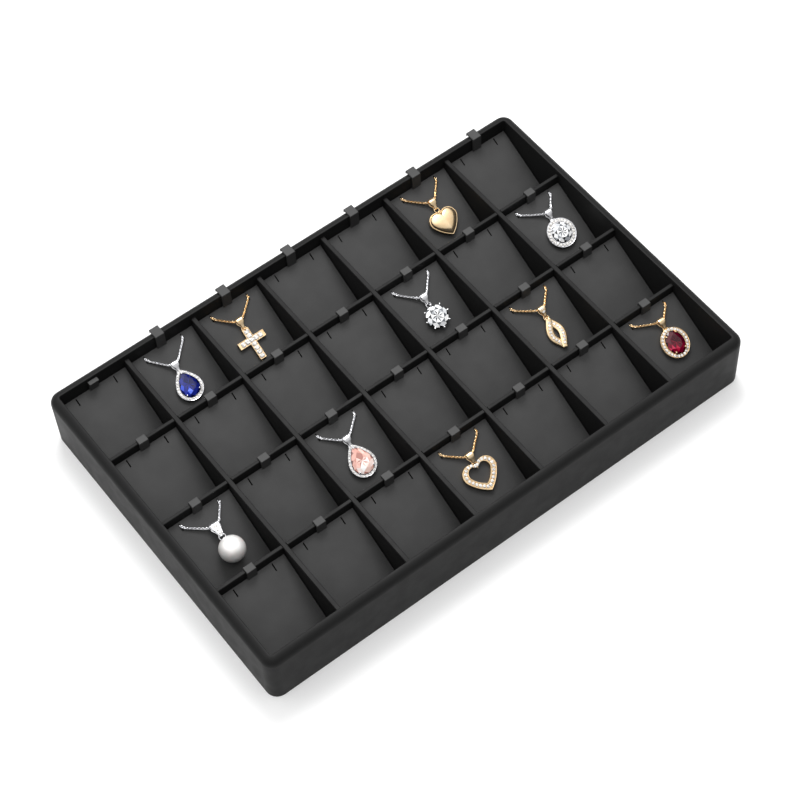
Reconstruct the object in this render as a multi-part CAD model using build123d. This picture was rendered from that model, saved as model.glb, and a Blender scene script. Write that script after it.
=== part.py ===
"""Pendant display tray: a moulded tray, a grid of dividers, a lift-out ramp in each cell, and ten pendants.

Millimetres. X runs along the tray's long side, Y to the back and Z up, and the origin is in the middle
of the underside. Rows are counted from the back and columns from the left, both from 1.
"""

import math
import os

from build123d import *

# Tray
COLUMNS = 7
ROWS = 4
CELL_WIDTH = 45.4
CELL_DEPTH = 52.0
TRAY_HEIGHT = 41.0
WALL = 6.0
FLOOR = 2.5
SKIN = 1.8  # the wall is an outer and an inner skin, with a hollow between them that is open below
OUTER_CORNER = 7.5
INNER_CORNER = 1.2
SHOULDER = 5.3  # radius of the rim's outer edge
RIM_EDGE = 0.5  # radius of the rim's inner edge
FOOT_EDGE = 0.6
SHOULDER_WEB = 2.0  # solid plastic between the hollow and the shoulder

# Divider grid
COLUMN_DIVIDER = 2.9
ROW_DIVIDER = 2.3
DIVIDER_DROP = 3.7  # from the rim down to the dividers' tops
LAP_GAP = 0.25  # each side of a halved joint, and under it
END_GAP = 0.15  # at each end, beside the wall
DIVIDER_EDGE = 0.3

# Hook at a ramp's back edge
HOOK_WIDTH = 6.2
STEM = 1.2
HOOK_PLATE = 1.2
HOOK_LIFT = 0.15  # clearance over the divider or the rim
LIP = 0.6
LIP_GAP = 0.15
LIP_DROP = 1.3
HOOK_EDGE = 0.25
TONGUE_DEPTH = 2.8  # the first cell's hook is a plain tongue that stops at the wall
TONGUE_DROP = 2.0  # from the rim

# Lift-out ramps
RAMP_GAP = 0.5  # beside and behind a ramp
LIFT_GAP = 0.35  # before a ramp that is lifted past the lip of the hook in front of it
RAMP_DROP = 5.8  # from the dividers' tops down to a ramp's top edge
RAMP_PLATE = 2.0
LEG = 1.8
TOE_HEIGHT = 3.2
TOE_LENGTH = 2.5
SLIT_PLACE = 13.3  # from a ramp's middle line
SLIT_START = 0.8
SLIT_LENGTH = 4.8
SLIT_WIDTH = 0.8

# Chains
CHAIN = 1.5
REST_GAP = 0.15  # between a ramp and what lies on it
CHAIN_START = 1.0  # from a slit's upper end down to where the chain comes up through it
CHAIN_TURN = 0.2  # sideways, towards the bail, where the chain leaves the slit
CHAIN_PASS = 0.3  # between the chain and the upper side of the bail's passage
DRAPES = ((0.3, 0.35, 0.35), (0.66, 0.25, 0.5))  # share of the way from slit to bail, bow outwards, sag

# Bails and jump rings
TUNNEL = 1.35  # radius of the passage through a bail
BAIL_WALL = 0.8
BAIL_WIDTH = 4.4
BAIL_END_WIDTH = 1.9
BAIL_LENGTH = 5.6  # from the passage's middle to the bail's lower end
LINK_HOLE = 0.8  # radius of the hole at the bail's lower end
LINK_WALL = 0.55
RING_WIRE = 0.7
RING = 3.2  # across the middle of a jump ring's wire
ROOM = 0.1  # round a bail's end where a head reaches up beside it

# Settings and stones
BACK_PLATE = 0.9
HALO_HEIGHT = 2.6
STONE_RISE = 1.7  # from the halo's top up to the stone's table
STONE_GAP = 0.05
CROWN = 1.1
EDGE = 0.35
PRONGS = 8
PRONG = 1.0

# Heads. A lap is how far a head reaches up from its jump ring's lower edge
PEAR_SIDE = 3.0  # radius of a pear's long sides, as a multiple of its half width
PEAR_LAP = 4.05
PEAR_BLUE = {"halo": 8.5, "halo_height": 21.2, "stone": 6.2, "stone_height": 16.6}
PEAR_PINK = {"halo": 8.6, "halo_height": 22.0, "stone": 6.7, "stone_height": 17.8}
CROSS_GAP = 0.15  # below the bail's lower end
CROSS_BAR = 4.4
CROSS_LENGTH = 21.3
CROSS_SPAN = 18.6
CROSS_ARM_DROP = 8.0  # from the top of the upright to the middle of the arms
CROSS_HEIGHT = 2.4
HEART_SIDE = 2.4  # the same for any heart
HEART_LAP = 0.9
HEART_HALF = 9.8
HEART_LOBE = 5.6
HEART_TIP = 11.9
HEART_PROFILE = ((1.8, 0.0), (0.9, 1.2), (0.9, 4.0), (1.15, 4.55), (1.9, 5.1), (3.7, 5.6))  # inset, height
HEART_TIP_INSET = 1.5  # the point draws in faster than the sides
HEART_RIM = (1.2, 3.2)  # heights between which the narrow rim stands out
HEART_LUG = 1.0
OPEN_HEART_LAP = 0.9  # at the cleft
OPEN_HEART = (11.3, 6.2, 13.4)  # half width, lobe and tip
OPEN_HEART_HOLE = (7.3, 3.9, 8.6)
OPEN_HEART_HEIGHT = 2.6
SOLITAIRE_LAP = 0.9
SOLITAIRE = 15.2
SOLITAIRE_STONE = 14.4
HALO_ROUND_LAP = 2.5
HALO_ROUND = 19.4
HALO_ROUND_STONE = 13.0
OVAL_LAP = 2.4
OVAL_HALO = (18.6, 19.6)
OVAL_STONE = (12.0, 15.0)
PEARL = 16.2
PEARL_LAP = 1.25  # here from the middle of the ring's wire
PEARL_CUP = 2.6
PEARL_RING = 4.0
PEARL_BAIL_WIDTH = 6.2
PEARL_BAIL_END_WIDTH = 2.6
PEARL_BAIL_LENGTH = 7.2
PEARL_BAIL_RISE = 2.35
PEARL_LINK_HOLE = 1.05
TWIST_NECK = 1.65  # from the bail's lower end to the band's upper point
TWIST_HALF_WIDTH = 6.0
TWIST_HALF_LENGTH = 9.6
TWIST_HOLE = (1.3, 3.8)  # half width and half length
TWIST_EYE = (1.9, 2.4)

# Each pendant's row and column, and its bail's place across the ramp's middle line and down the slope
PLACES = {
    "pear_blue": (1, 2, -0.4, 14.65),
    "cross": (1, 3, -0.3, 13.25),
    "heart": (1, 6, 1.75, 14.35),
    "solitaire": (2, 5, 1.35, 14.65),
    "halo_round": (2, 7, 4.2, 12.6),
    "pearl": (3, 1, 2.7, 13.25),
    "pear_pink": (3, 3, 0.1, 13.15),
    "twist": (3, 6, 2.35, 12.8),
    "open_heart": (4, 4, 0.7, 12.9),
    "oval_red": (4, 7, 3.75, 10.7),
}

# Worked out from the sizes above
INNER_LENGTH = COLUMNS * CELL_WIDTH + (COLUMNS - 1) * COLUMN_DIVIDER
INNER_DEPTH = ROWS * CELL_DEPTH + (ROWS - 1) * ROW_DIVIDER
OUTER_LENGTH = INNER_LENGTH + 2 * WALL
OUTER_DEPTH = INNER_DEPTH + 2 * WALL
DIVIDER_TOP = TRAY_HEIGHT - DIVIDER_DROP
DIVIDER_HEIGHT = DIVIDER_TOP - FLOOR
RAMP_TOP = DIVIDER_TOP - RAMP_DROP
RAMP_FRONT_TOP = FLOOR + TOE_HEIGHT
RAMP_FRONT_GAP = LIP_GAP + LIP + LIFT_GAP
RAMP_WIDTH = CELL_WIDTH - 2 * RAMP_GAP
RAMP_DEPTH = CELL_DEPTH - RAMP_GAP - RAMP_FRONT_GAP
SLOPE = math.atan2(RAMP_TOP - RAMP_FRONT_TOP, RAMP_DEPTH)
BAIL_HEIGHT = REST_GAP + BAIL_WALL + TUNNEL  # the passage's middle above the ramp
LINK_OUTER = LINK_HOLE + LINK_WALL
LINK_PLACE = BAIL_LENGTH - LINK_OUTER
RING_HEIGHT = REST_GAP + LINK_OUTER
RING_END = LINK_PLACE + RING + RING_WIRE / 2
STONE_TOP = REST_GAP + HALO_HEIGHT + STONE_RISE


def cell_middle(column):
    """X of a column's middle."""
    return (column - (COLUMNS + 1) / 2) * (CELL_WIDTH + COLUMN_DIVIDER)


def cell_back(row):
    """Y of a row's back face, which is the wall's in the first row and a divider's in the others."""
    return INNER_DEPTH / 2 - (row - 1) * (CELL_DEPTH + ROW_DIVIDER)


def ramp_plane(row, column):
    """X across a ramp from its middle, Y up its slope from its top edge, Z square off its face."""
    return Plane(
        origin=(cell_middle(column), cell_back(row) - RAMP_GAP, RAMP_TOP),
        x_dir=(1, 0, 0),
        z_dir=(0, -math.sin(SLOPE), math.cos(SLOPE)),
    )


def slab(outline, low, high):
    """A flat outline made solid between two heights."""
    return Pos(0, 0, low) * extrude(outline, high - low)


def across(points, width, middle):
    """A closed outline of (y, z) points made solid along X, width wide about middle."""
    face = make_face(Plane.YZ * Polyline(*points, close=True))
    return Pos(middle, 0, 0) * extrude(face, width / 2, both=True)


def tray_body():
    """Floor and wall in one moulding. The wall is hollow from below and its outer edge is a wide round."""
    block = extrude(RectangleRounded(OUTER_LENGTH, OUTER_DEPTH, OUTER_CORNER), TRAY_HEIGHT)
    block = fillet(block.faces().sort_by(Axis.Z)[-1].edges(), SHOULDER)
    block = fillet(block.faces().sort_by(Axis.Z)[0].edges(), FOOT_EDGE)
    block -= slab(RectangleRounded(INNER_LENGTH, INNER_DEPTH, INNER_CORNER), FLOOR, TRAY_HEIGHT + WALL)
    block = fillet(block.faces().sort_by(Axis.Z)[-1].inner_wires()[0].edges(), RIM_EDGE)
    hollow = RectangleRounded(OUTER_LENGTH - 2 * SKIN, OUTER_DEPTH - 2 * SKIN, OUTER_CORNER - SKIN)
    hollow -= RectangleRounded(INNER_LENGTH + 2 * SKIN, INNER_DEPTH + 2 * SKIN, INNER_CORNER + SKIN)
    return block - extrude(hollow, TRAY_HEIGHT - SHOULDER - SHOULDER_WEB)


def divider(length, thickness, crossings, crossing_thickness, slots_above):
    """A strip along X on the floor, halved at each crossing by a slot cut from above or from below."""
    strip = slab(Rectangle(length, thickness), FLOOR, DIVIDER_TOP)
    strip = chamfer(strip.faces().sort_by(Axis.Z)[-1].edges().filter_by(Axis.X), DIVIDER_EDGE)
    half = FLOOR + DIVIDER_HEIGHT / 2
    low, high = (half - LAP_GAP / 2, DIVIDER_TOP) if slots_above else (FLOOR, half + LAP_GAP / 2)
    slot = slab(Rectangle(crossing_thickness + 2 * LAP_GAP, 2 * thickness), low, high)
    for place in crossings:
        strip -= Pos(place, 0, 0) * slot
    return strip


def column_line(number):
    """X of a column divider's middle."""
    return cell_middle(number) + (CELL_WIDTH + COLUMN_DIVIDER) / 2


def row_line(number):
    """Y of a row divider's middle."""
    return cell_back(number + 1) + ROW_DIVIDER / 2


def column_divider(number):
    """Runs from the front wall to the back wall, and passes over the row dividers."""
    crossings = [row_line(row) for row in range(1, ROWS)]
    strip = divider(INNER_DEPTH - 2 * END_GAP, COLUMN_DIVIDER, crossings, ROW_DIVIDER, slots_above=False)
    return Pos(column_line(number), 0, 0) * Rot(0, 0, 90) * strip


def row_divider(number):
    """Runs from the left wall to the right wall, and passes under the column dividers."""
    crossings = [column_line(column) for column in range(1, COLUMNS)]
    strip = divider(INNER_LENGTH - 2 * END_GAP, ROW_DIVIDER, crossings, COLUMN_DIVIDER, slots_above=True)
    return Pos(0, row_line(number), 0) * strip


def hook(row, column):
    """Strip at the middle of a ramp's back edge, bent over the divider or the rim behind it."""
    back = cell_back(row) - RAMP_GAP
    root = RAMP_TOP - RAMP_PLATE
    if (row, column) == (1, 1):
        top = TRAY_HEIGHT - TONGUE_DROP
        end, under = back - TONGUE_DEPTH, top - HOOK_PLATE
        tongue = [(back - STEM, root), (back - STEM, under), (end, under)]
        tongue += [(end, top), (back, top), (back, root)]
        return across(tongue, HOOK_WIDTH, cell_middle(column))
    if row == 1:
        under = TRAY_HEIGHT + HOOK_LIFT
        far = OUTER_DEPTH / 2 - END_GAP
    else:
        under = DIVIDER_TOP + HOOK_LIFT
        far = cell_back(row) + ROW_DIVIDER + LIP_GAP + LIP
    top = under + HOOK_PLATE
    strip = [(back - STEM, root), (back - STEM, top), (far, top), (far, under - LIP_DROP)]
    strip += [(far - LIP, under - LIP_DROP), (far - LIP, under), (back, under), (back, root)]
    bent = across(strip, HOOK_WIDTH, cell_middle(column))
    return chamfer(bent.faces().sort_by(Axis.Z)[-1].edges(), HOOK_EDGE)


def ramp(row, column):
    """Sloping plate on a back leg and a low front toe, with two slits for the chain and a hook."""
    back = cell_back(row) - RAMP_GAP
    front = back - RAMP_DEPTH

    def underside(y):
        return RAMP_FRONT_TOP + (y - front) * math.tan(SLOPE) - RAMP_PLATE / math.cos(SLOPE)

    outline = [(back, RAMP_TOP), (front, RAMP_FRONT_TOP), (front, FLOOR), (front + TOE_LENGTH, FLOOR)]
    outline += [(front + TOE_LENGTH, underside(front + TOE_LENGTH)), (back - LEG, underside(back - LEG))]
    outline += [(back - LEG, FLOOR), (back, FLOOR)]
    plate = across(outline, RAMP_WIDTH, cell_middle(column))
    slit = Box(SLIT_WIDTH, SLIT_LENGTH, 4 * RAMP_PLATE)
    for side in (-1, 1):
        place = Pos(side * SLIT_PLACE, -SLIT_START - SLIT_LENGTH / 2, 0)
        plate -= ramp_plane(row, column) * place * slit
    return plate + hook(row, column)


def tapered_ring(first, first_radius, second, second_radius):
    """Outline round two circles and the two lines that touch both. Places are (x, y)."""
    along = math.atan2(second[1] - first[1], second[0] - first[0])
    spread = math.acos((first_radius - second_radius) / math.dist(first, second))

    def touch(place, radius, side):
        angle = along + side * spread
        return (place[0] + radius * math.cos(angle), place[1] + radius * math.sin(angle))

    sides = [touch(first, first_radius, 1), touch(second, second_radius, 1)]
    sides += [touch(second, second_radius, -1), touch(first, first_radius, -1)]
    body = make_face(Polyline(*sides, close=True))
    body += Pos(*first) * Circle(first_radius)
    return body + Pos(*second) * Circle(second_radius)


def bail(width=BAIL_WIDTH, end_width=BAIL_END_WIDTH, length=BAIL_LENGTH, rise=0.0, hole=LINK_HOLE):
    """Folded band that the chain runs through. It narrows downwards to the hole for the jump ring."""
    passage = (0, BAIL_HEIGHT)
    end = hole + LINK_WALL
    link = (end - length, REST_GAP + end + rise)
    outer = TUNNEL + BAIL_WALL
    side = tapered_ring(passage, outer, link, end) - tapered_ring(passage, TUNNEL, link, hole)
    band = extrude(Plane.YZ * side, width, both=True)
    front = [(width / 2, outer + EDGE), (width / 2, -TUNNEL)]
    front += [(end_width / 2, link[0] + hole), (end_width / 2, -length - EDGE)]
    front += [(-x, y) for x, y in front[::-1]]
    return band & slab(make_face(Polyline(*front, close=True)), -outer, BAIL_HEIGHT + outer + rise + EDGE)


def jump_ring(ring=RING, link=LINK_PLACE, height=RING_HEIGHT):
    """Round wire ring that lies flat, its upper side through the bail's lower hole."""
    return Pos(0, -link - ring / 2, height) * Torus(ring / 2, RING_WIRE / 2)


def link_room():
    """Room in a head's top for the bail's lower end."""
    outline = Pos(0, -LINK_PLACE) * Rectangle(BAIL_END_WIDTH + 2 * ROOM, 2 * LINK_OUTER + 2 * ROOM)
    return slab(outline, 0, STONE_TOP)


def pear(half_width, height):
    """A round end with its middle on y = 0, and two wide arcs that run from it to a point above."""
    rise = height - half_width
    side = PEAR_SIDE * half_width
    reach = ((side - half_width) ** 2 - side**2 + rise**2) / (2 * rise)
    off = math.sqrt((side - half_width) ** 2 - reach**2)
    leave, tip = math.atan2(-reach, off), math.atan2(rise - reach, off)
    low = (leave - math.pi / 2) / 2

    def on_side(angle):
        return (side * math.cos(angle) - off, reach + side * math.sin(angle))

    bend = (half_width * math.cos(low), half_width * math.sin(low))
    right = ThreePointArc((0, -half_width), bend, on_side(leave))
    right += ThreePointArc(on_side(leave), on_side((leave + tip) / 2), (0, rise))
    return make_face(right + mirror(right, Plane.YZ))


def cleft(half_width, lobe):
    """Height of a heart's cleft over the middles of its lobes."""
    return math.sqrt(lobe**2 - (half_width - lobe) ** 2)


def heart(half_width, lobe, tip):
    """Two round lobes with their middles on y = 0, and two wide arcs that run from them to a point below."""
    middle = half_width - lobe
    side = HEART_SIDE * half_width
    span = math.dist((middle, 0), (0, -tip))
    reach = ((side - lobe) ** 2 - side**2 + span**2) / (2 * span)
    off = math.sqrt((side - lobe) ** 2 - reach**2)
    along = (-middle / span, -tip / span)
    centre = (middle + reach * along[0] + off * along[1], reach * along[1] - off * along[0])
    leave = math.atan2(-centre[1], middle - centre[0])
    top = (math.atan2(cleft(half_width, lobe), -middle) + leave) / 2
    land = math.atan2(-tip - centre[1], -centre[0])
    bend = (leave + land) / 2

    def on_lobe(angle):
        return (middle + lobe * math.cos(angle), lobe * math.sin(angle))

    low = (centre[0] + side * math.cos(bend), centre[1] + side * math.sin(bend))
    half = ThreePointArc((0, cleft(half_width, lobe)), on_lobe(top), on_lobe(leave))
    half += ThreePointArc(on_lobe(leave), low, (0, -tip))
    return make_face(half + mirror(half, Plane.YZ))


def lens(half_width, half_length):
    """Two arcs that meet in a point at each end, on the Y axis."""
    bow = ThreePointArc((0, half_length), (half_width, 0), (0, -half_length))
    return make_face(bow + mirror(bow, Plane.YZ))


def setting(halo, stone, fitted):
    """A halo with a back plate and a jump ring, and its stone. fitted is the stone drawn in by its gap."""
    low, top = REST_GAP, REST_GAP + HALO_HEIGHT
    metal = slab(halo, low, top)
    metal = chamfer(metal.faces().sort_by(Axis.Z)[-1].edges(), EDGE)
    metal = metal - link_room() + jump_ring() - slab(stone, low + BACK_PLATE, STONE_TOP)
    gem = slab(fitted, low + BACK_PLATE, STONE_TOP)
    gem = chamfer(gem.faces().sort_by(Axis.Z)[-1].edges(), CROWN)
    return metal, gem


def pear_pendant(sizes):
    """Pear stone in a halo of small stones, point up."""
    halo, stone = sizes["halo"], sizes["stone"]
    halo_height, stone_height = sizes["halo_height"], sizes["stone_height"]
    drop = Pos(0, -(RING_END - PEAR_LAP + halo_height - halo), 0)
    fitted = pear(stone - STONE_GAP, stone_height - 2 * STONE_GAP)
    metal, gem = setting(drop * pear(halo, halo_height), drop * pear(stone, stone_height), drop * fitted)
    return [bail(), metal, gem]


def cross_pendant():
    """Latin cross of two flat bars."""
    top = BAIL_LENGTH + CROSS_GAP
    upright = Pos(0, -top - CROSS_LENGTH / 2) * Rectangle(CROSS_BAR, CROSS_LENGTH)
    arms = Pos(0, -top - CROSS_ARM_DROP) * Rectangle(CROSS_SPAN, CROSS_BAR)
    metal = slab(upright + arms, REST_GAP, REST_GAP + CROSS_HEIGHT)
    metal = chamfer(metal.faces().sort_by(Axis.Z)[-1].edges(), EDGE)
    return [bail(), metal + jump_ring()]


def heart_pendant():
    """Hollow-struck heart, domed on both faces, with a narrow rim and a lug in its cleft for the ring."""
    middle = RING_END - HEART_LAP + HEART_LOBE
    drop = Pos(0, -middle, 0)
    levels = []
    for inset, height in HEART_PROFILE:
        level = heart(HEART_HALF - inset, HEART_LOBE - inset / 2, HEART_TIP - HEART_TIP_INSET * inset)
        levels.append(Pos(0, 0, REST_GAP + height) * drop * level)
    low, high = HEART_RIM
    metal = loft(levels, ruled=True)
    metal += slab(drop * heart(HEART_HALF, HEART_LOBE, HEART_TIP), REST_GAP + low, REST_GAP + high)
    start = RING_END - RING_WIRE / 2
    end = middle - cleft(HEART_HALF, HEART_LOBE) + HEART_LUG
    lug = Pos(0, -(start + end) / 2) * Rectangle(HEART_LUG, end - start)
    metal += slab(lug, REST_GAP + low, REST_GAP + low + HEART_LUG)
    return [bail(), metal + jump_ring()]


def round_pendant(outer, stone, lap, prongs=0):
    """Round brilliant in a round setting, with small prongs where it has no halo."""
    middle = RING_END - lap + outer / 2
    drop = Pos(0, -middle, 0)
    fitted = drop * Circle(stone / 2 - STONE_GAP)
    metal, gem = setting(drop * Circle(outer / 2), drop * Circle(stone / 2), fitted)
    radius = stone / 2 + PRONG / 2 + STONE_GAP
    for number in range(prongs):
        angle = math.pi / 2 + number * 2 * math.pi / prongs
        place = Pos(radius * math.cos(angle), radius * math.sin(angle) - middle)
        metal += slab(place * Circle(PRONG / 2), REST_GAP, STONE_TOP - CROWN / 2)
    return [bail(), metal, gem]


def oval_pendant():
    """Oval stone in a halo of small stones."""
    width, height = OVAL_HALO
    drop = Pos(0, -(RING_END - OVAL_LAP + height / 2), 0)
    stone = Ellipse(OVAL_STONE[0] / 2, OVAL_STONE[1] / 2)
    fitted = Ellipse(OVAL_STONE[0] / 2 - STONE_GAP, OVAL_STONE[1] / 2 - STONE_GAP)
    metal, gem = setting(drop * Ellipse(width / 2, height / 2), drop * stone, drop * fitted)
    return [bail(), metal, gem]


def pearl_pendant():
    """Round pearl under a broad bail, held by a ring that runs into a cup on the pearl."""
    end = PEARL_LINK_HOLE + LINK_WALL
    link = PEARL_BAIL_LENGTH - end
    height = REST_GAP + end + PEARL_BAIL_RISE
    widths = (PEARL_BAIL_WIDTH, PEARL_BAIL_END_WIDTH)
    broad_bail = bail(*widths, PEARL_BAIL_LENGTH, PEARL_BAIL_RISE, PEARL_LINK_HOLE)
    middle = link + PEARL_RING - PEARL_LAP + PEARL / 2
    centre = REST_GAP + PEARL / 2
    pearl = Pos(0, -middle, centre) * Sphere(PEARL / 2)
    lean = math.atan2(centre - height, middle - link - PEARL_RING)
    cup_place = (0, PEARL / 2 * math.cos(lean) - middle, centre - PEARL / 2 * math.sin(lean))
    cup = Pos(*cup_place) * Sphere(PEARL_CUP / 2)
    return [broad_bail, cup + jump_ring(PEARL_RING, link, height) - pearl, pearl]


def twist_pendant():
    """Two bands that cross, part round an open lens and cross again, with a small eye above."""
    drop = Pos(0, -(BAIL_LENGTH + TWIST_NECK + TWIST_HALF_LENGTH), 0)
    band = drop * (lens(TWIST_HALF_WIDTH, TWIST_HALF_LENGTH) - lens(*TWIST_HOLE))
    eye = Pos(0, -(BAIL_LENGTH + CROSS_GAP + TWIST_EYE[1])) * lens(*TWIST_EYE)
    metal = slab(band + eye, REST_GAP, REST_GAP + HALO_HEIGHT)
    return [bail(), metal + jump_ring()]


def open_heart_pendant():
    """Flat band of small stones bent to a heart."""
    drop = Pos(0, -(RING_END - OPEN_HEART_LAP + cleft(*OPEN_HEART[:2])), 0)
    band = drop * (heart(*OPEN_HEART) - heart(*OPEN_HEART_HOLE))
    metal = slab(band, REST_GAP, REST_GAP + OPEN_HEART_HEIGHT)
    return [bail(), metal - link_room() + jump_ring()]


def pendants():
    """The solids of every pendant, each list in its own ramp's plane with the bail's passage at x = y = 0."""
    return {
        "pear_blue": pear_pendant(PEAR_BLUE),
        "cross": cross_pendant(),
        "heart": heart_pendant(),
        "solitaire": round_pendant(SOLITAIRE, SOLITAIRE_STONE, SOLITAIRE_LAP, PRONGS),
        "halo_round": round_pendant(HALO_ROUND, HALO_ROUND_STONE, HALO_ROUND_LAP),
        "pearl": pearl_pendant(),
        "pear_pink": pear_pendant(PEAR_PINK),
        "twist": twist_pendant(),
        "open_heart": open_heart_pendant(),
        "oval_red": oval_pendant(),
    }


def chain_route(across_place, down_place, bail_width):
    """Points of a chain in its ramp's plane: up through one slit, down to the bail, and up to the other."""
    halves = []
    for side in (-1, 1):
        slit = side * SLIT_PLACE
        leave = (slit - side * CHAIN_TURN, CHAIN - SLIT_START - SLIT_LENGTH, REST_GAP + CHAIN / 2)
        mouth = across_place + side * (bail_width + CHAIN / 2) / 2
        bail_end = (mouth, TUNNEL - CHAIN / 2 - CHAIN_PASS - down_place, BAIL_HEIGHT)
        half = [(slit, -SLIT_START - CHAIN_START, height) for height in (-RAMP_PLATE - CHAIN / 2, 0)]
        half.append(leave)
        for share, bow, sag in DRAPES:
            x, y, z = [a + share * (b - a) for a, b in zip(leave, bail_end)]
            half.append((x - side * bow, y - bow, z - sag))
        half.append(bail_end)
        halves.append(half)
    return halves[0] + halves[1][::-1]


def chain(name, row, column, route):
    """Round tube along a chain's route, in straight runs joined by arcs that touch them."""
    points = [Vector(*point) for point in route]
    runs = [b - a for a, b in zip(points, points[1:])]
    radii = []
    for before, after in zip(runs, runs[1:]):
        half_turn = math.radians(before.get_angle(after)) / 2
        radii.append(0.45 * min(before.length, after.length) / math.tan(half_turn))
    line = FilletPolyline(*points, radius=radii)
    tube = sweep(Plane(line @ 0, z_dir=line % 0) * Circle(CHAIN / 2), path=line)
    ideal = math.pi * CHAIN**2 / 4 * line.length
    print(name, "chain", round(line.length, 2), "mm, least arc", round(min(radii), 2), end=" ")
    print("volume over section times length", round(tube.volume / ideal, 4))
    return ramp_plane(row, column) * tube


def save(name, shape):
    export_step(shape, f"parts/{name}.step")


def main():
    os.makedirs("parts", exist_ok=True)
    save("tray_body", tray_body())
    for number in range(1, COLUMNS):
        save(f"column_divider_{number}", column_divider(number))
    for number in range(1, ROWS):
        save(f"row_divider_{number}", row_divider(number))
    for row in range(1, ROWS + 1):
        for column in range(1, COLUMNS + 1):
            save(f"ramp_r{row}_c{column}", ramp(row, column))
    for name, solids in pendants().items():
        row, column, across_place, down_place = PLACES[name]
        place = ramp_plane(row, column) * Pos(across_place, -down_place, 0)
        save(f"pendant_{name}", Compound(children=[place * solid for solid in solids]))
        width = PEARL_BAIL_WIDTH if name == "pearl" else BAIL_WIDTH
        save(f"chain_{name}", chain(name, row, column, chain_route(across_place, down_place, width)))


main()
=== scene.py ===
import math

import bpy
import numpy as np
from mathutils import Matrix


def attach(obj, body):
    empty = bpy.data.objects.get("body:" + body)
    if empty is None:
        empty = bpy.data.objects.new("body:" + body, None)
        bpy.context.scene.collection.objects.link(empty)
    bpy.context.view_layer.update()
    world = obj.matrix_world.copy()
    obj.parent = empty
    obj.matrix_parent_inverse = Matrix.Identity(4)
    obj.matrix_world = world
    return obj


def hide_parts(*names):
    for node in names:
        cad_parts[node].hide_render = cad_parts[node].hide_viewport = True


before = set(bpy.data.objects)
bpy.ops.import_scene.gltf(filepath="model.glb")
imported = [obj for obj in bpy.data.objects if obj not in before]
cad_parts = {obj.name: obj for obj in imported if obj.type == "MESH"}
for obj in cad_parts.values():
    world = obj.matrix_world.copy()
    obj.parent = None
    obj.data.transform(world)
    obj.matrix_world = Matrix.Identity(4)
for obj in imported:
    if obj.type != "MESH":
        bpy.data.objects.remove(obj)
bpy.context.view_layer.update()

# Sizes of the part, in millimetres
COLUMNS, ROWS = 7, 4
CELL_WIDTH, CELL_DEPTH, COLUMN_DIVIDER, ROW_DIVIDER = 45.4, 52.0, 2.9, 2.3
TRAY_HEIGHT, WALL, FLOOR, SKIN = 41.0, 6.0, 2.5, 1.8
OUTER_CORNER, INNER_CORNER, SHOULDER, RIM_EDGE, FOOT_EDGE = 7.5, 1.2, 5.3, 0.5, 0.6
SHOULDER_WEB = 2.0
DIVIDER_DROP, RAMP_GAP, RAMP_FRONT_GAP, RAMP_DROP, RAMP_PLATE, TOE_HEIGHT = 3.7, 0.5, 1.1, 5.8, 2.0, 3.2
SLIT_PLACE, SLIT_START, SLIT_LENGTH = 13.3, 0.8, 4.8
CHAIN, REST_GAP, CHAIN_START, CHAIN_TURN, CHAIN_PASS = 1.5, 0.15, 1.0, 0.2, 0.3
DRAPES = ((0.3, 0.35, 0.35), (0.66, 0.25, 0.5))
TUNNEL, BAIL_WALL, BAIL_WIDTH, BAIL_END_WIDTH, BAIL_LENGTH = 1.35, 0.8, 4.4, 1.9, 5.6
LINK_HOLE, LINK_WALL, RING_WIRE, RING = 0.8, 0.55, 0.7, 3.2
STONE_SINK, STONE_GAP, GIRDLE = 0.12, 0.05, 3.25
BACK_PLATE, HALO_HEIGHT, STONE_RISE, SEAT_LEDGE = 0.9, 2.6, 1.7, 0.8
CLAW_WIRE, CLAW_FOOT, CLAW_TIP = 0.42, 1.6, 4.0
PEAR_SIDE, HEART_SIDE = 3.0, 2.4

# Worked out from them
INNER_LENGTH = COLUMNS * CELL_WIDTH + (COLUMNS - 1) * COLUMN_DIVIDER
INNER_DEPTH = ROWS * CELL_DEPTH + (ROWS - 1) * ROW_DIVIDER
RAMP_TOP = TRAY_HEIGHT - DIVIDER_DROP - RAMP_DROP
SLOPE = math.atan2(RAMP_TOP - FLOOR - TOE_HEIGHT, CELL_DEPTH - RAMP_GAP - RAMP_FRONT_GAP)
BAIL_HEIGHT = REST_GAP + BAIL_WALL + TUNNEL
LINK_PLACE = BAIL_LENGTH - LINK_HOLE - LINK_WALL
RING_HEIGHT = REST_GAP + LINK_HOLE + LINK_WALL
RING_END = LINK_PLACE + RING + RING_WIRE / 2
HALO_TOP = REST_GAP + HALO_HEIGHT
SEAT = REST_GAP + BACK_PLATE
STONE_TOP = HALO_TOP + STONE_RISE

# The camera, worked out from the photograph's perspective
CAMERA_PLACE = (-408.805, -606.867, 1122.832)
CAMERA_TURN = (33.157, 2.163, -37.344)
CAMERA_LENS = 99.833
SENSOR = 36.0

MM = 0.001


# Shells: a shell is its points in millimetres and a list of face arrays


def grid(points, along=False):
    """Quads over rings of points, points[ring, place]. along joins the last ring to the first."""
    rows, columns = points.shape[:2]
    i = np.arange(rows if along else rows - 1)[:, None]
    j = np.arange(columns)[None, :]
    i_next, j_next = (i + 1) % rows, (j + 1) % columns
    corners = [i * columns + j, i * columns + j_next, i_next * columns + j_next, i_next * columns + j]
    quads = np.stack(np.broadcast_arrays(*corners), -1).reshape(-1, 4)
    return points.reshape(-1, 3).astype(float), [quads]


def capped(points):
    """A stack of rings as a closed shell, with one flat face over the first ring and one over the last."""
    shell, faces = grid(points)
    count = points.shape[1]
    ring = np.arange(count)
    return shell, faces + [ring[None, ::-1], ring[None] + (points.shape[0] - 1) * count]


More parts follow.
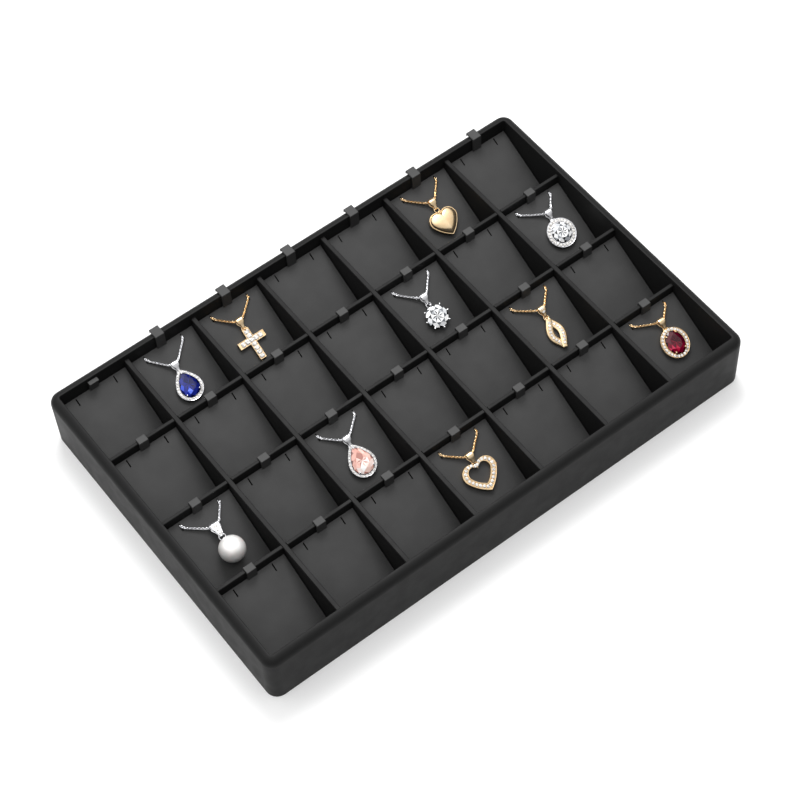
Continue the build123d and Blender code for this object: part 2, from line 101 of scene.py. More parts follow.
def joined(shells):
    """Several shells as one."""
    points, faces, start = [], [], 0
    for shell, parts in shells:
        points.append(shell)
        faces += [part + start for part in parts]
        start += len(shell)
    return np.concatenate(points), faces


def shifted(shell, offset):
    return shell[0] + np.asarray(offset, float), shell[1]


def copies(shell, axes, places):
    """The shell once at each place. axes[k] holds the three directions that its X, Y and Z take there."""
    points, faces = shell
    spread = np.einsum("nc,kcd->knd", points, np.asarray(axes, float)) + np.asarray(places, float)[:, None, :]
    step = (np.arange(len(places)) * len(points))[:, None, None]
    return spread.reshape(-1, 3), [(part[None] + step).reshape(-1, part.shape[1]) for part in faces]


def unit(vectors):
    return vectors / np.linalg.norm(vectors, axis=-1, keepdims=True)


def bar(path, radius, facing, closed=False, sides=10, square=2.0):
    """A section carried along a path, with one of its axes kept square to facing.

    The section is |a|^square + |b|^square = 1, a circle at 2 and a rounded square above, and radius holds its
    half sizes (square to facing, along facing) as one number, a pair, or a pair for each point of the path.
    Its points go round clockwise, so that the faces point outward.
    """
    path = np.asarray(path, float)
    if closed:
        tangent = unit(np.roll(path, -1, 0) - np.roll(path, 1, 0))
    else:
        tangent = unit(np.gradient(path, axis=0))
    side = unit(np.cross(tangent, np.asarray(facing, float)))
    up = np.cross(side, tangent)
    radius = np.asarray(radius, float)
    size = np.broadcast_to(radius if radius.ndim else [radius, radius], (len(path), 2))
    turn = -np.arange(sides) * 2 * math.pi / sides
    across = np.sign(np.cos(turn)) * np.abs(np.cos(turn)) ** (2 / square)
    high = np.sign(np.sin(turn)) * np.abs(np.sin(turn)) ** (2 / square)
    rings = path[:, None] + across[:, None] * side[:, None] * size[:, :1, None]
    rings = rings + high[:, None] * up[:, None] * size[:, 1:, None]
    return grid(rings, along=True) if closed else capped(rings)


def ball(radius, centre, squash=1.0, around=12, rings=7):
    """A sphere: angle round by angle up, closed by small flat faces at its poles."""
    high = np.linspace(-0.47, 0.47, rings) * math.pi
    turn = np.arange(around) * 2 * math.pi / around
    points = np.stack(
        [
            np.cos(high)[:, None] * np.cos(turn),
            np.cos(high)[:, None] * np.sin(turn),
            squash * np.sin(high)[:, None] + 0 * turn,
        ],
        -1,
    )
    return capped(radius * points + np.asarray(centre, float))


# Outlines: closed rows of (x, y) points, the same number for every size of one kind, drawn in by inset


def arc(centre, radius, start, end, count):
    """Points on a circle from one angle to another, without the last."""
    turn = np.linspace(start, end, count, endpoint=False)
    return np.stack([centre[0] + radius * np.cos(turn), centre[1] + radius * np.sin(turn)], -1)


def oval(half_width, half_height, inset=0.0, count=64):
    return arc((0, 0), 1.0, -math.pi / 2, 1.5 * math.pi, count) * [half_width - inset, half_height - inset]


def circle(radius, inset=0.0, count=64):
    return oval(radius, radius, inset, count)


def pear(half, height, inset=0.0, count=64):
    """A round end with its middle on y = 0, and two wide arcs that run from it and meet in a point above."""
    rise, side = height - half, PEAR_SIDE * half
    reach = ((side - half) ** 2 - side**2 + rise**2) / (2 * rise)
    off = math.sqrt((side - half) ** 2 - reach**2)
    leave, tip = math.atan2(-reach, off), math.acos(off / (side - inset))
    right = arc((-off, reach), side - inset, leave, tip, count // 4)
    left = arc((off, reach), side - inset, math.pi - tip, math.pi - leave, count // 4)
    round_end = arc((0, 0), half - inset, math.pi - leave, 2 * math.pi + leave, count // 2)
    return np.concatenate([right, left, round_end])


def heart(half, lobe, tip, inset=0.0, count=96):
    """Two round lobes with their middles on y = 0, and two wide arcs that run from them to a point below."""
    middle, side = half - lobe, HEART_SIDE * half
    span = math.hypot(middle, tip)
    reach = ((side - lobe) ** 2 - side**2 + span**2) / (2 * span)
    off = math.sqrt((side - lobe) ** 2 - reach**2)
    along = (-middle / span, -tip / span)
    centre = (middle + reach * along[0] + off * along[1], reach * along[1] - off * along[0])
    leave = math.atan2(-centre[1], middle - centre[0])
    land = -math.acos(-centre[0] / (side - inset))
    cleft = math.acos(-middle / (lobe - inset))
    right = [arc(centre, side - inset, land, leave, count // 4)]
    right.append(arc((middle, 0), lobe - inset, leave, cleft, count // 4))
    right = np.concatenate(right + [[[0, (lobe - inset) * math.sin(cleft)]]])
    return np.concatenate([right, right[-2:0:-1] * [-1, 1]])


def cross(span, length, bar_width, arm_drop, inset=0.0):
    """Twelve corners of a Latin cross, each moved in by inset. y = 0 is the top."""
    half, low = bar_width / 2 - inset, -length + inset
    arm_top, arm_low = -arm_drop + half, -arm_drop - half
    reach = span / 2 - inset
    right = [(half, low), (half, arm_low), (reach, arm_low), (reach, arm_top)]
    right += [(half, arm_top), (half, -inset)]
    return np.array(right + [(-x, y) for x, y in right[::-1]])


def flat(outline, height):
    """An outline as a ring of points at one height."""
    return np.concatenate([outline, np.full((len(outline), 1), height)], -1)


def along_line(line, at):
    """Places at lengths along a line of points."""
    length = np.concatenate([[0], np.cumsum(np.linalg.norm(np.diff(line, axis=0), axis=1))])
    at = np.clip(at, 0, length[-1])
    return np.stack([np.interp(at, length, line[:, k]) for k in range(line.shape[1])], -1)


# How far to each side a line's direction is taken, as a share of its length
NEAR_SHARE = 0.02


def spaced(line, count, closed=True, start=0.0):
    """Evenly spaced places along a line, and the direction of the line at each."""
    line = np.concatenate([line, line[:1]]) if closed else np.asarray(line, float)
    total = np.linalg.norm(np.diff(line, axis=0), axis=1).sum()
    at = (np.arange(count) / count + start) % 1 if closed else (np.arange(count) + 0.5) / count
    at = at * total
    near = NEAR_SHARE * total
    return along_line(line, at), unit(along_line(line, at + near) - along_line(line, at - near))


# Stones


# A brilliant's points, as shares of the girdle's outline about its middle, and how high the star points are
TABLE_SHARE, STAR_SHARE, KITE_SHARE, STAR_RISE, GIRDLE_EDGE = 0.6, 0.82, 0.3, 0.55, 0.2


def gem(outline, middle, look):
    """A brilliant cut over any outline, and each facet's painted light: how bright it is painted, from 0 to
    1.

    Sixteen points of the outline carry the girdle. Eight table corners lie on it drawn in about the middle,
    and eight star points between them, drawn in less. The table is divided as the pavilion's facets show
    through it: eight kites round its middle, each in two halves, with a triangle between each two. A facet's
    painted light stands for the light that the pavilion sends back through it and the shade between: its
    kind's level, plus a part that alternates, a painted side light brighter for facets that point towards
    lean, and a little chance. Painted glints are (x, y, reach, brightness), painted highlights or, where low,
    painted shade, given to the facets whose middles they reach.
    """
    level, contrast, painted_side_light, lean, seed, painted_glints = look
    middle = np.asarray(middle, float)
    rim = outline[np.arange(16) * len(outline) // 16]

    def drawn_in(points, share, height):
        return flat(middle + (points - middle) * share, height)

    corners, between = rim[::2], rim[1::2]
    star_height = GIRDLE + STAR_RISE * (STONE_TOP - GIRDLE)
    points = [drawn_in(corners, TABLE_SHARE, STONE_TOP), drawn_in(between, STAR_SHARE, star_height)]
    points += [flat(rim, GIRDLE), drawn_in(between, KITE_SHARE, STONE_TOP), flat(middle[None], STONE_TOP)]
    points += [flat(rim, GIRDLE - GIRDLE_EDGE), flat(middle[None], SEAT)]
    points = np.concatenate(points)
    star, edge, inner, core, foot, keel = 8, 16, 32, 40, 41, 57
    k, j = np.arange(8), np.arange(16)
    after, before, next_edge = (k + 1) % 8, (k - 1) % 8, (j + 1) % 16
    kinds = [
        (np.stack([core + 0 * k, k, inner + k], -1), 0.5, 1.0),
        (np.stack([core + 0 * k, inner + before, k], -1), 0.5, -1.0),
        (np.stack([inner + k, k, after], -1), 0.45, 0.7),
        (np.stack([k, star + k, after], -1), 0.62, -0.5),
        (np.stack([k, star + before, edge + 2 * k, star + k], -1), 0.55, 0.4),
        (np.stack([star + k, edge + 2 * k, edge + 2 * k + 1], -1), 0.4, 0.8),
        (np.stack([star + k, edge + 2 * k + 1, edge + (2 * k + 2) % 16], -1), 0.4, -0.8),
        (np.stack([edge + j, foot + j, foot + next_edge, edge + next_edge], -1), 0.3, 0.0),
        (np.stack([keel + 0 * j, foot + next_edge, foot + j], -1), 0.2, 0.0),
    ]
    chance = np.random.default_rng(seed)
    tones = []
    # Painted light: each facet's colour is as bright as the light the pavilion would send back, with shade
    # between, lighter towards lean
    for faces, base, swing in kinds:
        centre = points[faces][:, :, :2].mean(1)
        way = np.arctan2(centre[:, 1] - middle[1], centre[:, 0] - middle[0])
        turns = np.where(np.arange(len(faces)) % 2, 1.0, 0.35)
        tone = base + level + contrast * swing * turns + painted_side_light * np.cos(way - lean)
        tone = tone + 0.5 * contrast * (chance.random(len(faces)) - 0.5)
        # painted glints: painted highlights, or painted shade where their brightness is low
        for x, y, reach, bright in painted_glints:
            tone = np.where(np.hypot(centre[:, 0] - x, centre[:, 1] - y) < reach, bright, tone)
        tones.append(np.clip(tone, 0, 1))
    return (points, [faces for faces, base, swing in kinds]), np.concatenate(tones)


def small_stone(along, across, square=1.0):
    """An eight-sided brilliant of two half sizes, its girdle at z = 0, with a cone below it.

    At square 1 the girdle's corners are on a circle, and above 1 they move out towards those of a square.
    """
    turn = np.arange(8) * math.pi / 4 + math.pi / 8
    rim = flat(np.clip(square * np.stack([np.cos(turn), np.sin(turn)], -1), -1, 1), 0.0)
    table = rim * 0.66 + [0, 0, 0.3]
    points = np.concatenate([table, rim, [[0, 0, -0.55]]]) * [along, across, (along + across) / 2]
    eight = np.arange(8)
    after = (eight + 1) % 8
    faces = [
        eight[None],
        np.stack([eight, 8 + eight, 8 + after, after], -1),
        np.stack([8 + after, 8 + eight, 16 + 0 * eight], -1),
    ]
    return points, faces


def row_of_stones(line, count, height, size, closed=True, start=0.0):
    """Small stones along a line. size is half their length along it and half their width across it."""
    places, along = spaced(line, count, closed, start)
    if places.shape[1] == 2:
        places, along = flat(places, height), flat(along, 0.0)
    side = unit(np.cross([0.0, 0.0, 1.0], along))
    axes = np.stack([along, side, np.cross(along, side)], 1)
    return copies(small_stone(*size), axes, places)


def grains(line, count, height, off, radius=0.22, start=0.0):
    """Small round beads on both sides of a line, that hold the stones down at their gaps."""
    places, along = spaced(line, count, start=start + 0.5 / count)
    side = np.stack([-along[:, 1], along[:, 0]], -1)
    both = np.concatenate([places + off * side, places - off * side])
    bead = ball(radius, (0, 0, 0), around=6, rings=4)
    return copies(bead, np.broadcast_to(np.eye(3), (len(both), 3, 3)), flat(both, height))


# Metalwork


def belt(first, first_radius, second, second_radius, count=14):
    """The line round two circles in the (y, z) plane and the lines that touch both, as (0, y, z) points."""
    along = math.atan2(second[1] - first[1], second[0] - first[0])
    spread = math.acos((first_radius - second_radius) / math.dist(first, second))
    big = arc(first, first_radius, along + spread, along + 2 * math.pi - spread, count)
    small = arc(second, second_radius, along - spread, along + spread, count)
    big_end = arc(first, first_radius, along - spread, along, 1)
    small_end = arc(second, second_radius, along + spread, along, 1)
    down = np.linspace(big_end[0], small[0], 6)[:-1]
    back = np.linspace(small_end[0], big[0], 6)[:-1]
    line = np.concatenate([big, down, small, back])
    return np.concatenate([np.zeros((len(line), 1)), line], -1)


def bail(width=BAIL_WIDTH, end_width=BAIL_END_WIDTH, length=BAIL_LENGTH, rise=0.0, hole=LINK_HOLE):
    """Folded band round the chain: a rounded oblong section round a drop-shaped loop, narrower below."""
    end = hole + LINK_WALL
    link = (end - length, REST_GAP + end + rise)
    line = belt((0, BAIL_HEIGHT), TUNNEL + BAIL_WALL / 2, link, hole + LINK_WALL / 2)
    share = np.clip((-line[:, 1] - TUNNEL) / (length - end - hole - TUNNEL), 0, 1)
    half = (width + (end_width - width) * share) / 2
    thick = (BAIL_WALL + (LINK_WALL - BAIL_WALL) * share) / 2
    return bar(line, np.stack([thick, half], -1), (1, 0, 0), closed=True, sides=20, square=4.0)


def jump_ring(link=LINK_PLACE, height=RING_HEIGHT, ring=RING):
    """Round wire ring that lies flat."""
    line = flat(circle(ring / 2, count=32), height) - [0, link + ring / 2, 0]
    return bar(line, RING_WIRE / 2, (0, 0, 1), closed=True, sides=12)


def collar(ring, profile):
    """A metal rim: the profile's (inset, height) pairs, each as a ring of the outline moved in that far."""
    return capped(np.stack([flat(ring(inset), height) for inset, height in profile]))


def channel(width, top):
    """Profile of a halo: a leaning wall, a rounded edge, a sunk bed for stones, and a step to the seat."""
    bed = top - 0.35
    edge = [(0.0, top - 0.3), (0.06, top - 0.1), (0.18, top), (0.3, top - 0.04), (0.36, bed)]
    outer = [(1.0, REST_GAP), (0.35, REST_GAP + 0.5), (0.05, top - 0.9)]
    inner = [(width - inset, height) for inset, height in edge[::-1]]
    return outer + edge + inner + [(width, SEAT), (width + SEAT_LEDGE, SEAT)]


def claw(foot, tip, low=CLAW_FOOT, high=CLAW_TIP, wire=CLAW_WIRE):
    """A prong: a bent wire that rises beside the stone, leans in over its edge and ends in a round tip."""
    foot, tip = np.asarray(foot, float), np.asarray(tip, float)
    share = np.linspace(0, 1, 9)[:, None]
    rise = low + (high - low) * np.sin(share * math.pi / 2) ** 0.9
    line = np.concatenate([foot + (tip - foot) * share**1.6, rise], -1)
    facing = unit(np.cross(np.append(tip - foot, 0.0), (0, 0, 1)))
    return joined([bar(line, wire, facing, sides=8), ball(wire * 1.2, line[-1], 0.85, 10, 6)])


# Finishes


def linear(code):
    """An sRGB hex colour as linear red, green, blue and a full alpha."""
    shares = [int(code[k : k + 2], 16) / 255 for k in (1, 3, 5)]
    return [s / 12.92 if s <= 0.04045 else ((s + 0.055) / 1.055) ** 2.4 for s in shares] + [1.0]


def add(tree, kind, inputs=None, **settings):
    """A node with its settings, and its inputs set to values or linked from other nodes' sockets."""
    node = tree.nodes.new(kind)
    for name, value in settings.items():
        setattr(node, name, value)
    for name, value in (inputs or {}).items():
        if isinstance(value, bpy.types.NodeSocket):
            tree.links.new(value, node.inputs[name])
        else:
            node.inputs[name].default_value = value
    return node


def finish_of(name, colour, roughness, **sockets):
    """A material with one shader, and the tree and shader to add to."""
    made = bpy.data.materials.new(name)
    made.use_nodes = True
    shader = made.node_tree.nodes["Principled BSDF"]
    shader.inputs["Base Color"].default_value = linear(colour)
    shader.inputs["Roughness"].default_value = roughness
    for socket, value in sockets.items():
        shader.inputs[socket.replace("_", " ").title().replace("Ior", "IOR")].default_value = value
    return made, made.node_tree, shader


def stops(ramp, values):
    """Sets a colour ramp's stops from (position, hex colour or grey value) pairs."""
    elements = ramp.color_ramp.elements
    while len(elements) < len(values):
        elements.new(0.5)
    for element, (position, value) in zip(elements, values):
        element.position = position
    for element, (position, value) in zip(elements, values):
        element.color = linear(value) if isinstance(value, str) else (value, value, value, 1.0)


def mottle(tree, shader, colours, size, socket="Base Color"):
    """Slow change of a colour or a roughness over patches of about size millimetres."""
    where = add(tree, "ShaderNodeTexCoord").outputs["Object"]
    noise = add(tree, "ShaderNodeTexNoise", {"Vector": where, "Scale": 1 / (size * MM), "Detail": 3.0})
    ramp = add(tree, "ShaderNodeValToRGB", {"Fac": noise.outputs["Fac"]})
    stops(ramp, [(0.35, colours[0]), (0.65, colours[1])])
    tree.links.new(ramp.outputs["Color"], shader.inputs[socket])


def grain(tree, shader, size, strength, depth):
    """Bump of a fine even grain, its bumps about size millimetres apart and depth millimetres high."""
    where = add(tree, "ShaderNodeTexCoord").outputs["Object"]
    noise = add(tree, "ShaderNodeTexNoise", {"Vector": where, "Scale": 1 / (size * MM), "Detail": 2.0})
    bump = add(tree, "ShaderNodeBump", {"Height": noise.outputs["Fac"], "Strength": strength})
    bump.inputs["Distance"].default_value = depth * MM
    tree.links.new(bump.outputs["Normal"], shader.inputs["Normal"])


def moulded_abs():
    """Black ABS from a lightly spark-eroded mould: a soft, slightly broken gloss over nearly no colour."""
    made, tree, shader = finish_of("moulded_black_abs", "#1a1a1a", 0.48, ior=1.2)
    mottle(tree, shader, (0.46, 0.52), 9.0, "Roughness")
    grain(tree, shader, 0.6, 0.12, 0.05)
    return made


def pad_finish():
    """Charcoal PVC with a fine matt grain: nearly no gloss, and its tone drifts a little over each pad."""
    made, tree, shader = finish_of("matt_charcoal_pvc", "#343434", 0.6, ior=1.4)
    mottle(tree, shader, ("#323232", "#373737"), 14.0)
    grain(tree, shader, 0.5, 0.3, 0.06)
    return made


def polished(name, colours, roughness):
    """Plated and buffed metal: a mirror with a faint buffing haze, its colour drifting a little."""
    made, tree, shader = finish_of(name, colours[0], roughness, metallic=0.92)
    mottle(tree, shader, colours, 6.0)
    return made


def cut_stone(name, colours, ior):
    """Cut stone: each facet's colour painted with the light the pavilion sends back through it, under a hard
    gloss.
    """
    made, tree, shader = finish_of(name, colours[1], 0.04, ior=ior)
    # painted light: each face's value sets how bright its colour is painted
    tone = add(tree, "ShaderNodeAttribute", attribute_name="tone", attribute_type="GEOMETRY")
    ramp = add(tree, "ShaderNodeValToRGB", {"Fac": tone.outputs["Fac"]})
    # the stone's colours from painted shade to painted highlight
    stops(ramp, list(zip((0.0, 0.3, 0.6, 0.82, 1.0), colours)))
    tree.links.new(ramp.outputs["Color"], shader.inputs["Base Color"])
    return made


def zirconia():
    """White cubic zirconia, too small for its inner facets to show: glassy, with spots painted paler or
    greyer as painted sparkle and shade.
    """
    made, tree, shader = finish_of("white_zirconia", "#ffffff", 0.1, ior=1.9)
    # painted sparkle: grey and white patches about a stone wide, for its facets' light and shade
    mottle(tree, shader, ("#a5a19c", "#fffdf9"), 1.0)
    return made


def nacre():
    """Nacre: light spreads inside the white body and half mirrors off its layers, under a clear skin."""
    layers = {"metallic": 0.3, "coat_weight": 1.0, "coat_roughness": 0.1}
    made, tree, shader = finish_of("white_nacre", "#faf6f3", 0.26, **layers)
    mottle(tree, shader, ("#f7f2ef", "#fdfaf8"), 5.0)
    shader.inputs["Subsurface Weight"].default_value = 0.6
    shader.inputs["Subsurface Radius"].default_value = (1.0, 0.9, 0.9)
    shader.inputs["Subsurface Scale"].default_value = 4 * MM
    return made


# Angles in degrees above which an edge stays sharp
METAL_CREASE, LINK_CREASE, PEARL_CREASE, TRAY_CREASE = 32, 60, 60, 40

FINISHES = {
    "abs": moulded_abs(),
    "pad": pad_finish(),
    "gold": polished("polished_yellow_gold_plate", ("#ebcb9e", "#f2d8b0"), 0.2),
    "silver": polished("polished_rhodium_plate", ("#ebebee", "#f2f2f4"), 0.2),
    "melee": zirconia(),
    # Cut stones' colours run from the shade to the highlight painted on their facets
    "clear": cut_stone("clear_zirconia", ("#0c0d0f", "#5d6166", "#c4c7cb", "#f2f3f4", "#ffffff"), 1.6),
    "blue": cut_stone("blue_sapphire", ("#040724", "#0e1760", "#2236b4", "#5673f2", "#b9c6ff"), 1.5),
    "pink": cut_stone("pink_morganite", ("#6f4f4a", "#c78c80", "#eebfb1", "#fae3db", "#ffffff"), 1.58),
    "red": cut_stone("red_ruby", ("#1c000a", "#52021a", "#a30c33", "#cf3a5c", "#eda0ae"), 1.45),
    "nacre": nacre(),
}


def piece(name, shells, finish, body, replaces=None, crease=None, tones=None):
    """A mesh object from shells, riding on a body. Edges over crease degrees are sharp; per-face values,
    where given, are each face's painted light.
    """
    points, faces = joined(shells)
    mesh = bpy.data.meshes.new(name)
    mesh.from_pydata((points * MM).tolist(), [], [row for part in faces for row in part.tolist()])
    mesh.materials.append(FINISHES[finish])
    mesh.polygons.foreach_set("use_smooth", np.full(len(mesh.polygons), crease is not None))
    # each face's painted light, as a face attribute for the stone finishes
    if tones is not None:
        mesh.attributes.new("tone", "FLOAT", "FACE").data.foreach_set("value", tones)
    mesh.update()
    if crease is not None:
        mesh.set_sharp_from_angle(angle=math.radians(crease))
    made = bpy.data.objects.new(name, mesh)
    bpy.context.scene.collection.objects.link(made)
    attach(made, body)
    if replaces:
        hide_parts(*replaces)
    return made


# Tray


def rounded_oblong(inset, count=10):
    """The tray's outline moved in by inset: four quarter circles, joined by straight sides."""
    radius = OUTER_CORNER + (INNER_CORNER - OUTER_CORNER) * inset / WALL
    x = INNER_LENGTH / 2 + WALL - inset - radius
    y = INNER_DEPTH / 2 + WALL - inset - radius
    turn = np.linspace(0, math.pi / 2, count)
    corners = []
    for k, centre in enumerate([(x, y), (-x, y), (-x, -y), (x, -y)]):
        angle = turn + k * math.pi / 2
        corners.append(np.stack([centre[0] + radius * np.cos(angle), centre[1] + radius * np.sin(angle)], -1))
    return np.concatenate(corners)


def tray():
    """The wall's profile, from the floor's upper face over the rim to the underside and up the hollow."""
    turn = np.linspace(0, math.pi / 2, 18)
    sine, cosine = np.sin(turn), np.cos(turn)
    inner = np.stack([WALL - RIM_EDGE + RIM_EDGE * cosine, TRAY_HEIGHT - RIM_EDGE + RIM_EDGE * sine], -1)
    outer = np.stack([SHOULDER - SHOULDER * sine, TRAY_HEIGHT - SHOULDER + SHOULDER * cosine], -1)
    foot = np.stack([FOOT_EDGE - FOOT_EDGE * cosine, FOOT_EDGE - FOOT_EDGE * sine], -1)
    hollow = TRAY_HEIGHT - SHOULDER - SHOULDER_WEB
    under = [(SKIN, 0), (SKIN, hollow), (WALL - SKIN, hollow), (WALL - SKIN, 0)]
    profile = [(WALL, FLOOR), *inner[::3], *outer, *foot[::4], *under]
    return capped(np.stack([flat(rounded_oblong(inset), height) for inset, height in profile[::-1]]))


# Pendants: row, column, bail's place across and down the ramp, and the metal


PENDANTS = {
    "pear_blue": (1, 2, -0.4, 14.65, "silver"),
    "cross": (1, 3, -0.3, 13.25, "gold"),
    "heart": (1, 6, 1.75, 14.35, "gold"),
    "solitaire": (2, 5, 1.35, 14.65, "silver"),
    "halo_round": (2, 7, 4.2, 12.6, "silver"),
    "pearl": (3, 1, 2.7, 13.25, "silver"),
    "pear_pink": (3, 3, 0.1, 13.15, "silver"),
    "twist": (3, 6, 2.35, 12.8, "gold"),
    "open_heart": (4, 4, 0.7, 12.9, "gold"),
    "oval_red": (4, 7, 3.75, 10.7, "gold"),
}


def on_ramp(points, row, column, across=0.0, down=0.0, turned_only=False):
    """Points from a ramp's own plane, or a pendant's, to the tray's frame: turned by the slope, and moved."""
    axes = [[1, 0, 0], [0, math.cos(SLOPE), math.sin(SLOPE)], [0, -math.sin(SLOPE), math.cos(SLOPE)]]
    if turned_only:
        return np.asarray(points, float) @ np.array(axes)
    origin = [
        (column - (COLUMNS + 1) / 2) * (CELL_WIDTH + COLUMN_DIVIDER),
        INNER_DEPTH / 2 - (row - 1) * (CELL_DEPTH + ROW_DIVIDER) - RAMP_GAP,
        RAMP_TOP,
    ]
    return (np.asarray(points, float) + [across, -down, 0]) @ np.array(axes) + origin


# Chains

LINK_LENGTH, LINK_WIDTH, LINK_WIRE = 2.5, 1.95, 0.64
# How far links overlap, in wires, how far the first is turned, and the reach that gives the line's direction
LINK_LAP, LINK_TURN, LINE_REACH = 2.2, 40, 0.7


def chain_route(across, down, bail_width):
    """Points of a chain in its ramp's plane: up through one slit, down to the bail, and up to the other."""
    halves = []
    for side in (-1, 1):
        slit = side * SLIT_PLACE
        leave = (slit - side * CHAIN_TURN, CHAIN - SLIT_START - SLIT_LENGTH, REST_GAP + CHAIN / 2)
        mouth = across + side * (bail_width + CHAIN / 2) / 2
        bail_end = (mouth, TUNNEL - CHAIN / 2 - CHAIN_PASS - down, BAIL_HEIGHT)
        half = [(slit, -SLIT_START - CHAIN_START, height) for height in (-RAMP_PLATE - CHAIN / 2, 0)]
        half.append(leave)
        for share, bow, sag in DRAPES:
            x, y, z = [a + share * (b - a) for a, b in zip(leave, bail_end)]
            half.append((x - side * bow, y - bow, z - sag))
        half.append(bail_end)
        halves.append(half)
    return halves[0] + halves[1][::-1]


def smooth_line(points):
    """The smooth line that has these points as its control points, as points in millimetres."""
    curve = bpy.data.curves.new("route", "CURVE")
    curve.dimensions = "3D"
    curve.resolution_u = 16
    spline = curve.splines.new("NURBS")
    spline.points.add(len(points) - 1)
    spline.points.foreach_set("co", np.concatenate([points, np.ones((len(points), 1))], -1).ravel())
    spline.order_u = 3
    spline.use_endpoint_u = True
    carrier = bpy.data.objects.new("route", curve)
    mesh = bpy.data.meshes.new_from_object(carrier)
    line = np.zeros(len(mesh.vertices) * 3)
    mesh.vertices.foreach_get("co", line)
    bpy.data.objects.remove(carrier)
    bpy.data.meshes.remove(mesh)
    bpy.data.curves.remove(curve)
    return line.reshape(-1, 3)


def chain_link():
    """An oval wire link in the XY plane, long in X: two half circles and two straight sides."""
    radius = (LINK_WIDTH - LINK_WIRE) / 2
    straight = (LINK_LENGTH - LINK_WIDTH) / 2
    right = arc((straight, 0), radius, -math.pi / 2, math.pi / 2, 6)
    left = arc((-straight, 0), radius, math.pi / 2, 1.5 * math.pi, 6)
    return bar(flat(np.concatenate([right, left]), 0.0), LINK_WIRE / 2, (0, 0, 1), closed=True, sides=6)


def chain(name, row, column, across, down, metal):
    """Oval links that follow the chain's line, each turned a quarter from the one before."""
    width = PEARL_BAIL_WIDTH if name == "pearl" else BAIL_WIDTH
    line = smooth_line(on_ramp(chain_route(across, down, width), row, column))
    length = np.linalg.norm(np.diff(line, axis=0), axis=1).sum()
    count = round((length - LINK_LENGTH) / (LINK_LENGTH - LINK_LAP * LINK_WIRE)) + 1
    link, faces = chain_link()
    at = np.linspace(LINK_LENGTH / 2, length - LINK_LENGTH / 2, count)
    place = (at[:, None] + link[:, 0]).ravel()
    along = unit(along_line(line, place + LINE_REACH) - along_line(line, place - LINE_REACH))
    off = on_ramp([[0, 0, 1]], row, column, turned_only=True)
    side = unit(np.cross(off, along))
    turn = math.radians(LINK_TURN) + (np.arange(count) % 2) * math.pi / 2
    turn = np.repeat(turn, len(link))[:, None]
    first = np.cos(turn) * side + np.sin(turn) * np.cross(along, side)
    wide, high = (np.tile(link[:, k], count)[:, None] for k in (1, 2))
    points = along_line(line, place) + wide * first + high * np.cross(along, first)
    step = np.arange(count)[:, None, None] * len(link)
    links = points, [(part[None] + step).reshape(-1, part.shape[1]) for part in faces]
    body = f"lifted_r{row}_c{column}"
    made = piece(f"chain_{name}_links", [links], metal, body, [f"chain_{name}"], LINK_CREASE)


# Pendants, each in its own plane: x across, y up the slope, z off the ramp, the bail's passage over (0, 0)

# Each stone's colour, then the painted light of its facets: level, contrast, painted side light, lean, seed
# and
# # painted glints, which are painted highlights except one spot of painted shade on the pink stone
LOOKS = {
    "pear_blue": ("blue", -0.26, 0.2, 0.12, -2.4, 4, ((-1.6, -1.9, 1.1, 0.84), (-3.9, 1.6, 1.3, 0.7))),
    "pear_pink": ("pink", 0.0, 0.4, 0.18, -1.2, 9, ((0.3, 4.2, 1.9, 0.22), (-1.8, -2.4, 1.6, 1.0))),
    "oval_red": ("red", -0.3, 0.18, 0.12, -2.2, 6, ((-0.8, -3.8, 1.5, 0.62), (-4.2, -1.4, 1.2, 0.76))),
    "solitaire": ("clear", -0.08, 0.95, 0.05, -1.0, 2, ()),
    "halo_round": ("clear", -0.04, 1.0, 0.05, -1.0, 7, ()),
}


def set_stone(name, outline, drop, middle=(0, 0)):
    """A pendant's stone, moved down to its place, with its facets' painted light."""
    shell, tones = gem(outline, middle, LOOKS[name][1:])
    return {"stone": [shifted(shell, (0, -drop, 0))], "tones": tones}


def halo_pendant(name, outer, inner, drop, width, stones, size, claws, middle=(0, 0)):
    """A stone in a halo of small stones. outer and inner are the halo's edges, drawn in by their inset."""

    def ring(inset):
        return outer(inset) if inset < width / 2 else inner(inset - width)

    bed = (outer(0.0) + inner(0.0)) / 2
    metal = [collar(ring, channel(width, HALO_TOP)), *claws]
    metal.append(grains(bed, stones, HALO_TOP, 0.72 * size[1], start=0.5 / stones))
    small = row_of_stones(bed, stones, HALO_TOP - 0.1, size, start=0.5 / stones)
    made = set_stone(name, inner(STONE_GAP), drop, middle)
    made["metal"] = [shifted(part, (0, -drop, 0)) for part in metal] + [bail(), jump_ring()]
    made["melee"] = [shifted(small, (0, -drop, 0))]
    return made


def ring_of_claws(angles, half, reach=0.5, wire=CLAW_WIRE):
    """Prongs at angles in degrees, from just outside an oval of these half sizes to just inside it."""
    made = []
    for angle in angles:
        way = np.array([math.cos(math.radians(angle)), math.sin(math.radians(angle))])
        made.append(claw(way * (np.array(half) + reach), way * (np.array(half) - reach), wire=wire))
    return made


# Half width and height of the halo, then of the stone
PEAR_BLUE, PEAR_PINK = (8.5, 21.2, 6.2, 16.6), (8.6, 22.0, 6.7, 17.8)
PEAR_LAP = 4.05


def pear_pendant(name, half, height, stone, stone_height):
    """Pear stone, point up, in a halo of small stones, with a claw at the point and two at the round end."""
    drop = RING_END - PEAR_LAP + height - half
    rise = stone_height - stone
    claws = ring_of_claws((-38, -142), (stone, stone), 0.45)
    claws.append(claw((0, rise + 0.4), (0, rise - 0.9)))

    def outer(inset):
        return pear(half, height, inset)

    def inner(inset):
        return pear(stone, stone_height, inset)

    size = (0.84, 0.78)
    return halo_pendant(name, outer, inner, drop, half - stone, 26, size, claws, (0, 1.6))


SOLITAIRE, SOLITAIRE_STONE, SOLITAIRE_LAP = 15.2, 14.4, 0.9


